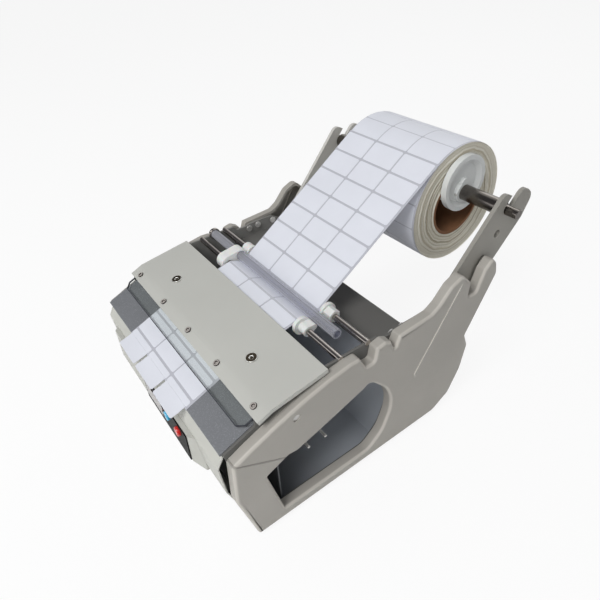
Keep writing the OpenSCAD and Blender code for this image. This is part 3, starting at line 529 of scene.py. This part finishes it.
LABEL = paper_face("label_paper", srgb(217, 219, 227))
LINER = paper_face("liner_paper", srgb(182, 183, 191), 0.4, 0.3)
CORE = cardboard("core_board", srgb(132, 92, 62))
ROLL_EDGE = wound_edge("roll_edge", ROLL_AT, [
    (0.3, srgb(132, 118, 92)), (0.42, srgb(196, 188, 168)), (0.53, srgb(228, 225, 214)),
    (0.66, srgb(190, 182, 160))])
WOUND_EDGE = wound_edge("wound_edge", WOUND_AT, [
    (0.3, srgb(186, 178, 150)), (0.6, srgb(222, 216, 196))])

# Folds of the shells: a rib below each arm with a short hook, drawn with painted highlights,
# and a line to the opening, drawn with painted shade
RIB_TOP = (SHAFT_Y - 63.9 * MM, 168.9 * MM)
RIB_FOOT = (SHAFT_Y - 114.5 * MM, 86.8 * MM)
HOOK_END = (SHAFT_Y - 112.6 * MM, 79.3 * MM)
LINE_FRONT = (SHAFT_Y - 308.3 * MM, 115.7 * MM)
LINE_BACK = (SHAFT_Y - 259.5 * MM, 86.4 * MM)
light_edges(SHELL, 1.3)
crease(SHELL, RIB_FOOT, RIB_TOP, 2 * MM, 2.3, 1.2 * MM)
crease(SHELL, RIB_FOOT, HOOK_END, 2 * MM, 1.8, 1.2 * MM)
crease(SHELL, LINE_FRONT, LINE_BACK, 1.4 * MM, 0.72, 0.9 * MM)
shaded_front(TRAY, FRONT_Y + 30 * MM, FRONT_Y + 160 * MM, 0.08)


# ---------------------------------------------------------------- side shells

# The solid's own step at its outer edge, the rounding drawn for it and the flat rim inside it
SHELL_STEP = 1.5 * MM
FILLET = 3.2 * MM
FILLET_STEPS = 5
FLAT_RIM = 0.5 * MM

# Loops of a shell's side by their width: below the first a screw hole, above the second the
# outline, and between them an opening
HOLE_WIDTH = 20 * MM
OUTLINE_WIDTH = 200 * MM


def loops_of(edges):
    """Closed vertex loops from boundary edges."""
    left = dict.fromkeys(edges)
    out = []
    while left:
        ring = list(left.popitem()[0].verts)
        while ring[-1] != ring[0]:
            nxt = next((e for e in ring[-1].link_edges if e in left), None)
            if nxt is None:
                break
            del left[nxt]
            ring.append(nxt.other_vert(ring[-1]))
        if ring[-1] == ring[0]:
            ring.pop()
        out.append(ring)
    return out


def area(points):
    """Signed area of a closed 2D loop."""
    return sum(a[0] * b[1] - b[0] * a[1] for a, b in zip(points, points[1:] + points[:1])) / 2


def offset(points, d):
    """Closed 2D loop moved by d to the left of its travel."""
    out = []
    for a, b, c in zip(points[-1:] + points[:-1], points, points[1:] + points[:1]):
        u = (Vector(b) - Vector(a)).normalized()
        v = (Vector(c) - Vector(b)).normalized()
        n1, n2 = Vector((-u.y, u.x)), Vector((-v.y, v.x))
        out.append(Vector(b) + (n1 + n2) * d / max(0.35, 1 + n1.dot(n2)))
    return out


def round_over(bm, ring, side, outer):
    """Draws the rounded edge from a loop of the shell's side; gives the loop of its cap."""
    pts = [(v.co.y, v.co.z) for v in ring]
    if area(pts) < 0:
        ring.reverse()
        pts.reverse()
    width = max(p[0] for p in pts) - min(p[0] for p in pts)
    fillet = 0 if width < HOLE_WIDTH else FILLET
    for v in ring:
        v.co.x = side * (outer - fillet)
    if not fillet:
        return ring
    inward = 1 if width > OUTLINE_WIDTH else -1
    angles = [math.pi / 2 * k / FILLET_STEPS for k in range(1, FILLET_STEPS + 1)]
    profile = [(fillet * math.sin(a), fillet * (1 - math.cos(a))) for a in angles]
    for rise, run in profile + [(fillet, fillet + FLAT_RIM)]:
        x = side * (outer - fillet + rise)
        new = [bm.verts.new((x, *p)) for p in offset(pts, inward * run)]
        bridge(bm, ring, new)
        ring = new
    return ring


def shell_skin(node, side):
    """The moulded shell with its outer edges rounded over, where the solid has a step."""
    bm = cad_bmesh(node)
    outer = max(side * v.co.x for v in bm.verts)
    above = outer - SHELL_STEP - 0.1 * MM
    gone = [f for f in bm.faces if all(side * v.co.x > above for v in f.verts)]
    bmesh.ops.delete(bm, geom=gone, context="FACES")
    rims = [e for e in bm.edges if e.is_boundary]
    edges = []
    for cap in [round_over(bm, ring, side, outer) for ring in loops_of(rims)]:
        for pair in zip(cap, cap[1:] + cap[:1]):
            edges.append(bm.edges.get(pair) or bm.edges.new(pair))
    bmesh.ops.triangle_fill(bm, use_beauty=True, edges=edges)
    obj = shaped(node + "_skin", bm, SHELL)
    for p in obj.data.polygons:
        if len(p.vertices) == 3 and abs(p.normal.x) > 0.9999:
            p.use_smooth = False
    weigh_normals(obj)
    return place(obj, node)


# ---------------------------------------------------------------- paper

LINER_T = 0.2 * MM
PAPER_T = 0.4 * MM
CLOSE = 0.01 * MM

# Bends of the paper are eased over this length on each side
EASE = 0.6 * MM

# Rounded corners of a label, and where along a corner it is cut
CORNER = 1.8 * MM
CORNER_CUTS = (0.12, 0.35, 0.65, 1.0)
LABEL_STEP = 3 * MM
LINER_STEP = 2 * MM

# Rows and columns of labels: pitch of the rows, the gap between them, and the gap between
# columns where the labels stand free, on the web and on the roll
COLUMNS = 3
ROW = 24 * MM
ROW_GAP = 2.2 * MM
TAB_GAP = 3 * MM
SEAM_GAP = 1.7 * MM
ROLL_GAP = 1.2 * MM

# The first row's place from the peel edge. After the rows in front of the cover, the hidden
# ones take up the slip between them
FIRST_ROW = 6.8 * MM
SHOWN_ROWS = 2
HIDDEN_ROWS = 3
SLIP = 8 * MM

# Steps of a free label's curl, facets round a roll, and thickness of its outermost labels
CURL_STEPS = 8
FACETS = 160
ROLL_SKIN = 0.18 * MM


def paper_sides(node):
    """Both long sides of a paper solid's side view, as lists of (y, z) in one direction."""
    bm = cad_bmesh(node, PAPER_FLAT_ANGLE)
    x0 = min(v.co.x for v in bm.verts)
    cap = max((f for f in bm.faces if all(abs(v.co.x - x0) < CLOSE for v in f.verts)),
              key=lambda f: len(f.verts))
    pts = [Vector((v.co.y, v.co.z)) for v in cap.verts]
    bm.free()
    n = len(pts)

    def turn(i):
        a = pts[i] - pts[i - 1]
        b = pts[(i + 1) % n] - pts[i]
        return math.atan2(a.x * b.y - a.y * b.x, a.dot(b))

    def sharp(i):
        return abs(turn(i) + turn((i + 1) % n))

    short = [i for i in range(n) if (pts[(i + 1) % n] - pts[i]).length < 2.5 * PAPER_T]
    ends = sorted(sorted(short, key=sharp)[-2:])
    one = pts[ends[0] + 1:ends[1] + 1]
    two = (pts[ends[1] + 1:] + pts[:ends[0] + 1])[::-1]
    return one, two


class Path:
    """A side-view line with places and normals by the distance along it."""

    def __init__(self, points, up):
        self.p = [Vector(q) for q in points]
        self.s = [0.0]
        for a, b in zip(self.p, self.p[1:]):
            self.s.append(self.s[-1] + (b - a).length)
        self.up = up

    def at(self, s, h):
        """Place at distance s, and h to the printed side."""
        i = 0
        while i < len(self.s) - 2 and s > self.s[i + 1]:
            i += 1
        u = (self.p[i + 1] - self.p[i]).normalized()
        n = Vector((-u.y, u.x)) * self.up
        q = self.p[i] + u * (s - self.s[i])
        return q + self.normal(i, s, n) * h

    def normal(self, i, s, n):
        """The normal, eased between neighbours near a bend."""
        for j in (i, i + 1):
            near = abs(s - self.s[j])
            if 0 < j < len(self.p) - 1 and near < EASE:
                a = (self.p[j] - self.p[j - 1]).normalized()
                b = (self.p[j + 1] - self.p[j]).normalized()
                m = Vector((-(a + b).y, (a + b).x)).normalized() * self.up
                t = near / EASE
                return (m * (1 - t) + n * t).normalized()
        return n


def ladder(bm, path, rows, low, high):
    """A band along the path through rows of (distance, left edge, right edge)."""
    last = None
    for s, x0, x1 in rows:
        lo, hi = path.at(s, low), path.at(s, high)
        ring = [bm.verts.new((x, *q)) for x, q in ((x0, lo), (x1, lo), (x1, hi), (x0, hi))]
        if last:
            bridge(bm, last, ring)
        else:
            bm.faces.new(ring[::-1])
        last = ring
    bm.faces.new(last)


def inset(t):
    """How far a label's side is rounded in at distance t from its end."""
    return CORNER - math.sqrt(max(0, CORNER ** 2 - (CORNER - t) ** 2)) if t < CORNER else 0


def label(bm, path, s0, s1, x0, x1, low):
    """One label bent along the path, with rounded corners."""
    count = max(2, round((s1 - s0) / LABEL_STEP))
    cuts = {s0 + (s1 - s0) * k / count for k in range(count + 1)}
    cuts |= {s for s in path.s if s0 < s < s1} | {s0, s1}
    for t in CORNER_CUTS:
        cuts |= {s0 + CORNER * t, s1 - CORNER * t}
    rows = []
    for s in sorted(cuts):
        if not rows or s - rows[-1][0] >= CLOSE:
            i = inset(min(s - s0, s1 - s))
            rows.append((s, x0 + i, x1 - i))
    ladder(bm, path, rows, low, 0)


def columns(gap):
    """Left and right edge of each column of labels, with this gap between them."""
    lo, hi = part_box("label_web")
    pitch = (hi.x - lo.x - TAB_GAP / 2) / COLUMNS
    for k in range(COLUMNS):
        x = lo.x + TAB_GAP / 2 + k * pitch
        yield x - (TAB_GAP - gap) / 2, x + pitch - TAB_GAP + (TAB_GAP - gap) / 2


def label_row(bm, path, s0, s1, gap, low):
    """One label in each column, from s0 to s1 along the path."""
    for x0, x1 in columns(gap):
        label(bm, path, s0, s1, x0, x1, low)


def row_starts(total):
    """Where the rows begin along the web; those hidden by the cover are slightly shorter."""
    starts = []
    while not starts or starts[-1] <= total:
        k = len(starts)
        slip = SLIP * min(1, max(0, k - SHOWN_ROWS) / HIDDEN_ROWS)
        starts.append(FIRST_ROW + k * ROW - slip)
    return starts


def web_path():
    """Line of the web's printed side, from the peel edge back to the roll."""
    roll_at = Vector((ROLL_AT.y, ROLL_AT.z))
    sides = [s if s[0].x < s[-1].x else s[::-1] for s in paper_sides("label_web")]
    return Path(max(sides, key=lambda s: (s[-1] - roll_at).length), 1)


def web():
    """The threaded web; gives how far its last row reaches past it, onto the roll."""
    path = web_path()
    total = path.s[-1]
    low = LINER_T - PAPER_T
    lo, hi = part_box("label_web")
    count = round(total / LINER_STEP)
    cuts = sorted(set(path.s) | {total * k / count for k in range(count + 1)})
    bm = bmesh.new()
    ladder(bm, path, [(s, lo.x, hi.x) for s in cuts], -PAPER_T, low)
    place(shaped("web_liner", bm, LINER), "label_web")
    starts = row_starts(total)
    bm = bmesh.new()
    for a, b in zip(starts, starts[1:]):
        if a + ROW_GAP / 2 < total:
            label_row(bm, path, a + ROW_GAP / 2, min(b - ROW_GAP / 2, total), SEAM_GAP, low)
    label_row(bm, path, 0.0, starts[0] - ROW_GAP / 2, SEAM_GAP, low)
    place(shaped("web_labels", bm, LABEL), "label_web", False)
    return starts[-1] - total


def tabs():
    """The labels that have come off the backing: square at the edge, rounded at their tips."""
    top = max(paper_sides("peeled_labels"), key=lambda side: sum(q.y for q in side) / len(side))
    if top[0].x < top[-1].x:
        top = top[::-1]
    a, b, c = top[0], top[len(top) // 2], top[-1]
    parts = [k / CURL_STEPS for k in range(CURL_STEPS + 1)]
    path = Path([a * (1 - t) ** 2 + b * 2 * t * (1 - t) + c * t ** 2 for t in parts], -1)
    total = path.s[-1]
    cuts = sorted(set(path.s) | {total - CORNER * t for t in CORNER_CUTS})
    insets = [(s, inset(total - s)) for s in cuts]
    bm = bmesh.new()
    for x0, x1 in columns(TAB_GAP):
        ladder(bm, path, [(s, x0 + i, x1 - i) for s, i in insets], -LINER_T, 0)
    place(shaped("free_labels", bm, LABEL), "peeled_labels")


def wound(node, at, bore, radius, edge, rings, step, seed):
    """A wound roll: smooth outer turn and sides whose turns stand a little uneven."""
    rnd = random.Random(seed)
    lo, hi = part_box(node)
    bm = bmesh.new()
    radii = [bore + (radius - bore) * k / rings for k in range(rings + 1)]
    circle = [2 * math.pi * i / FACETS for i in range(FACETS)]

    def ring(x, r):
        return [bm.verts.new((x, at.y + r * math.cos(a), at.z + r * math.sin(a)))
                for a in circle]

    def join(a, b, slot):
        for face in bridge(bm, a, b):
            face.material_index = slot

    sides = []
    for x, inward in ((lo.x, 1), (hi.x, -1)):
        rows = []
        level = 0.0
        for k, r in enumerate(radii):
            level = min(step, max(0.0, level + rnd.uniform(-0.4, 0.4) * step))
            depth = 0.0 if k in (0, rings) else level
            rows.append(ring(x + inward * depth, r))
        for a, b in zip(rows, rows[1:]):
            join(a, b, 1)
        sides.append(rows)
    left, right = sides
    join(left[-1], right[-1], 0)
    join(right[0], left[0], 1)
    obj = shaped(node + "_wound", bm, LINER, WOUND_ANGLE)
    obj.data.materials.append(edge)
    place(obj, node)


def roll(ahead):
    """The label roll with its outer turn of labels, in step with the web."""
    radius = radius_of("label_roll")
    wound("label_roll", ROLL_AT, radius_of("roll_core"), radius - ROLL_SKIN, ROLL_EDGE,
          rings=54, step=0.7 * MM, seed=3)
    start = web_path().p[-1]
    first = math.atan2(start.y - ROLL_AT.z, start.x - ROLL_AT.y)
    angles = [first - 2 * math.pi * k / FACETS for k in range(FACETS + 1)]
    path = Path([(ROLL_AT.y + radius * math.cos(a), ROLL_AT.z + radius * math.sin(a))
                 for a in angles], 1)
    half = ROLL_GAP / 2
    bm = bmesh.new()
    s = ahead
    while s + ROW < path.s[-1]:
        label_row(bm, path, s + half, s + ROW - half, ROLL_GAP, -ROLL_SKIN)
        s += ROW
    if ahead - half > MM:
        label_row(bm, path, 0, ahead - half, ROLL_GAP, -ROLL_SKIN)
    obj = place(shaped("roll_labels", bm, LABEL), "label_roll", False)


def papers():
    roll(web())
    tabs()
    skin("liner_return", LINER, 0)
    skin("roll_core", CORE, 0.3 * MM)
    wound("rewound_liner", WOUND_AT, 11.3 * MM, radius_of("rewound_liner"), WOUND_EDGE,
          rings=8, step=0.4 * MM, seed=5)


# ---------------------------------------------------------------- stage, light, camera

# The photograph's view: angles in degrees, and its place in mm from a point at the shells'
# underside, in front of the supply shaft
AZIMUTH, ELEVATION, TILT = 56.29, 38.68, 3.91
EYE = Vector((337.06, -81.74, 433.18))
UNDERSIDE = 4
SHAFT_BEHIND = 295.1
SENSOR = 36
LENS = 30.01
PICTURE = 600

# Name, place, target, diameter and power of each lamp
LAMPS = (
    ("key", (0.42, -1.26, 1.62), (0, 0, 0.1), 0.9, 22.5),
    ("low", (-0.9, -1.8, 0.25), (0, 0, 0.2), 1.2, 4.5),
    ("side", (0.95, -0.85, 0.3), (0.1, -0.1, 0.1), 0.6, 1.0),
    ("back", (-0.6, 1.4, 1.4), (0, 0.05, 0.15), 1.0, 3),
)


def camera():
    """The photograph's view: from the right front, well above, slightly rolled."""
    az, el, tilt = (math.radians(a) for a in (AZIMUTH, ELEVATION, TILT))
    fwd = Vector((-math.sin(az) * math.cos(el), math.cos(az) * math.cos(el), -math.sin(el)))
    right = fwd.cross(Vector((0, 0, 1))).normalized()
    down = fwd.cross(right).normalized()
    c, s = math.cos(tilt), math.sin(tilt)
    cam = bpy.data.cameras.new("camera")
    cam.sensor_width = SENSOR
    cam.sensor_fit = "HORIZONTAL"
    cam.lens = LENS
    cam.shift_x = 1 / PICTURE
    cam.shift_y = 1 / PICTURE
    cam.clip_start = 0.02
    cam.clip_end = 30
    obj = link(bpy.data.objects.new("camera", cam))
    m = Matrix((right * c + down * s, right * s - down * c, -fwd)).transposed().to_4x4()
    m.translation = EYE * MM + Vector((0, SHAFT_Y - SHAFT_BEHIND * MM, UNDERSIDE * MM))
    obj.matrix_world = m
    bpy.context.scene.camera = obj


def world():
    """White to the eye; soft light for surfaces; a dark room, bright at its back, for gloss."""
    w = bpy.data.worlds.new("studio")
    bpy.context.scene.world = w
    w.use_nodes = True
    w.node_tree.nodes.clear()
    t = Tree.of(w)

    def background(strength, colour):
        n = t.node("ShaderNodeBackground")
        t.feed(n.inputs["Color"], colour)
        n.inputs["Strength"].default_value = strength
        return n.outputs[0]

    direction = t.node("ShaderNodeTexCoord").outputs["Generated"]
    backward = t.vector("DOT_PRODUCT", direction, (0, 0.8, 0.45))
    room = background(1.0, t.ramp(backward, [(0.3, (0.1, 0.1, 0.11)), (0.68, WHITE)]))
    soft = background(0.34, (0.97, 0.985, 1.0, 1))
    white = background(1.0, (*WHITE, 1))
    ray = t.node("ShaderNodeLightPath").outputs
    plain = t.math("MAXIMUM", ray["Is Camera Ray"], ray["Is Transmission Ray"])
    shaded = t.blend(ray["Is Glossy Ray"], soft, room)
    out = t.node("ShaderNodeOutputWorld")
    t.link(t.blend(plain, shaded, white), out.inputs["Surface"])


def floor():
    """A wide matt ground that looks nearly white to the camera."""
    bm = bmesh.new()
    bmesh.ops.create_grid(bm, x_segments=2, y_segments=2, size=6)
    t = Tree("floor_paint")
    t.set(Base_Color=(0.95, 0.95, 0.95, 1), Roughness=0.9, Specular_IOR_Level=0.0)
    seen = t.node("ShaderNodeLightPath").outputs["Is Camera Ray"]
    white = t.node("ShaderNodeEmission")
    white.inputs["Strength"].default_value = 1.0
    mixed = t.blend(t.math("MULTIPLY", seen, 0.88), t.bsdf.outputs[0], white.outputs[0])
    t.link(mixed, t.out.inputs["Surface"])
    obj = mesh_object("floor", bm, t.mat)
    obj.location.z = -0.2 * MM


def lamp(name, at, target, size, power):
    """A round lamp that points at its target."""
    data = bpy.data.lights.new(name, "AREA")
    data.shape = "DISK"
    data.size = size
    data.energy = power
    obj = link(bpy.data.objects.new(name, data))
    obj.location = at
    obj.rotation_mode = "QUATERNION"
    obj.rotation_quaternion = (Vector(at) - Vector(target)).to_track_quat("Z", "Y")


# ---------------------------------------------------------------- the machine

# Width of the guard's dark rim, painted shade along its edge, and how far it lies above the
# sheet
RIM_WIDTH = 0.8 * MM
RIM_LIFT = 0.03 * MM

# Plain pieces: material, width of the softened edges in mm, and their steps
PLAIN = {
    "right_side_plate": (INNER, 0.3, 2),
    "left_side_plate": (PLATE, 0.3, 2),
    "base_plate": (INNER, 0.3, 2),
    "base_tray": (TRAY, 0, 2),
    "rear_cover": (INNER, 0.4, 2),
    "top_cover": (COVER, 0.5, 3),
    "cover_brackets": (INNER, 0.3, 2),
    "peel_plate": (PEEL, 0, 2),
    "front_fascia": (CONSOLE, 0.4, 2),
    "tie_bar": (STEEL, 0.3, 2),
    "rubber_feet": (RUBBER, 1, 3),

    "console_housing": (CONSOLE, 1.2, 4),
    "control_panel": (PANEL, 0.3, 2),
    "display_window": (DISPLAY, 0.1, 2),
    "red_button": (RED, 0.8, 4),
    "blue_button": (BLUE, 0.8, 4),
    "control_board": (BOARD, 0.1, 2),
    "board_standoffs": (STEEL, 0.2, 2),
    "label_sensor": (BLACK, 0.5, 2),
    "power_inlet": (BLACK, 0.6, 2),
    "inlet_pins": (SCREW, 0.3, 2),
    "switch_frame": (BLACK, 0.4, 2),
    "power_rocker": (ROCKER, 0.6, 3),

    "front_rod": (STEEL, 0.4, 2),
    "rear_rod": (STEEL, 0.4, 2),
    "liner_bar": (STEEL, 0.4, 2),
    "tube_pin": (STEEL, 0.4, 2),
    "supply_shaft": (SHAFT, 0.4, 2),
    "left_front_guide": (NYLON, 0.9, 4),
    "left_rear_guide": (NYLON, 0.9, 4),
    "right_front_guide": (NYLON, 0.9, 4),
    "right_rear_guide": (NYLON, 0.9, 4),
    "right_arm": (ARM, 0.7, 3),
    "left_arm": (LEFT_ARM, 0.7, 3),
    "right_hub": (HUB, 0.8, 3),
    "left_hub": (HUB, 0.8, 3),
    "hub_screws": (SCREW, 0.2, 2),
    "rewind_motor": (MOTOR, 0.8, 3),
    "rewind_hub": (SPOOL, 0.4, 2),
    "rewind_prongs": (SPOOL, 0.5, 3),
    "arm_bolts": (SCREW, 0.3, 2),
    "shell_screws": (SCREW, 0.3, 2),
    "motor_screws": (SCREW, 0.3, 2),
    "guard_screws": (LIP_SCREW, 0.9, 2),
    "cover_screws": (COVER_SCREW, 0.7, 2),
}


def guard():
    """The clear guard; its cut edges and a thin rim along its top edge are painted dark, as
    painted shade for the light that the edges trap.
    """
    obj = skin("clear_guard", GUARD, 0)
    obj.data.materials.append(GUARD_EDGE_SHADE)
    bm = cad_bmesh("clear_guard")
    up = max((f for f in bm.faces if f.normal.z > 0), key=lambda f: f.calc_area()).normal.copy()
    for p in obj.data.polygons:
        p.material_index = 0 if abs(p.normal.dot(up)) > 0.9 else 1
    rim = [e for e in bm.edges
           if sorted(f.normal.dot(up) > 0.99 for f in e.link_faces) == [False, True]]
    ring = max(loops_of(rim), key=lambda r: max(v.co.x for v in r) - min(v.co.x for v in r))
    outer = [v.co.copy() for v in ring]
    bm.free()
    side = Vector((1, 0, 0))
    slope = up.cross(side)
    lift = up * RIM_LIFT
    flat = [(c.x, c.dot(slope)) for c in outer]
    inner = offset(flat, RIM_WIDTH if area(flat) > 0 else -RIM_WIDTH)
    line = bmesh.new()
    bridge(line, [line.verts.new(c + lift) for c in outer],
           [line.verts.new(c + side * (q.x - f[0]) + slope * (q.y - f[1]) + lift)
            for c, f, q in zip(outer, flat, inner)])
    place(mesh_object("guard_rim_shade", line, GUARD_EDGE_SHADE), "clear_guard", False)


def tube():
    """The clear tube; its bore is duller and tinted darker than its outside, the darker tint
    painted shade inside the tube.
    """
    obj = skin("guide_tube", TUBE, 0)
    obj.data.materials.append(SHADED_TUBE_BORE)
    mid = centre("guide_tube")
    inside = radius_of("guide_tube") * 0.95
    for p in obj.data.polygons:
        if abs(p.normal.x) < 0.5:
            c = p.center - mid
            p.material_index = 1 if math.hypot(c.y, c.z) < inside else 0


bpy.context.scene.view_settings.view_transform = "Standard"
camera()
world()
floor()
for values in LAMPS:
    lamp(*values)
shell_skin("right_shell", 1)
shell_skin("left_shell", -1)
guard()
tube()
for piece, (material, bevel, segments) in PLAIN.items():
    skin(piece, material, bevel * MM, segments)
papers()
